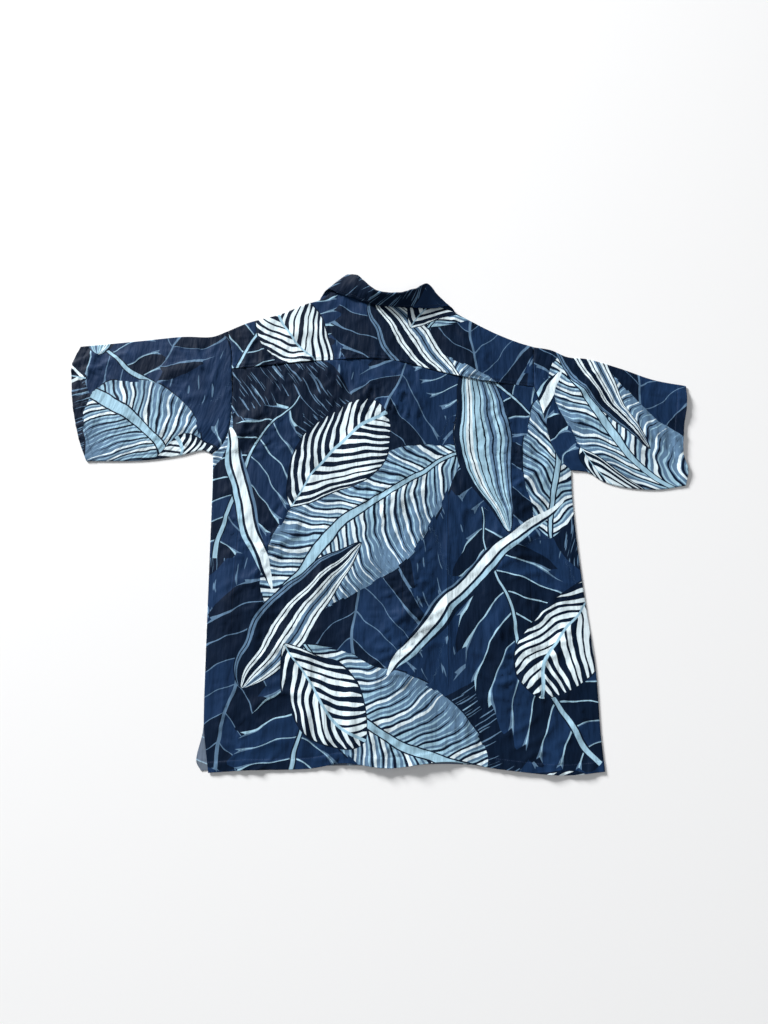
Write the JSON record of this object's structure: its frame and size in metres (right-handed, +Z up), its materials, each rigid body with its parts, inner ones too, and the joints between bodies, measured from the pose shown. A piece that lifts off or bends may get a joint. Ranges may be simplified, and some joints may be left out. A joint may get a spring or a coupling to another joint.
{
  "type": "short-sleeved hawaiian shirt laid flat",
  "caption": "Short-sleeved camp shirt laid face down: boxy back with a yoke, wide flat sleeves, rolled collar, buttoned front underneath, leaf print.",
  "frame": {"origin": "middle of the garment's outline on the surface that it lies on", "axes": "+X from the wearer's left sleeve to the right sleeve, +Y from the hem to the collar, +Z up from the surface"},
  "size_m": [1.056, 0.8458, 0.0318],
  "materials": {
    "printed_cloth": "woven viscose, large leaf print in navy, slate, ice blue and off-white, soft dull sheen",
    "thread": "navy sewing thread",
    "button": "polished navy shirt button"
  },
  "bodies": {
    "root": {"back": "printed_cloth", "yoke": "printed_cloth", "front_left": "printed_cloth", "front_right": "printed_cloth", "sleeve_left": "printed_cloth", "sleeve_right": "printed_cloth", "collar": "printed_cloth", "button_1": "button", "button_2": "button", "button_3": "button", "button_4": "button", "button_5": "button", "button_6": "button"}
  },
  "joints": []
}
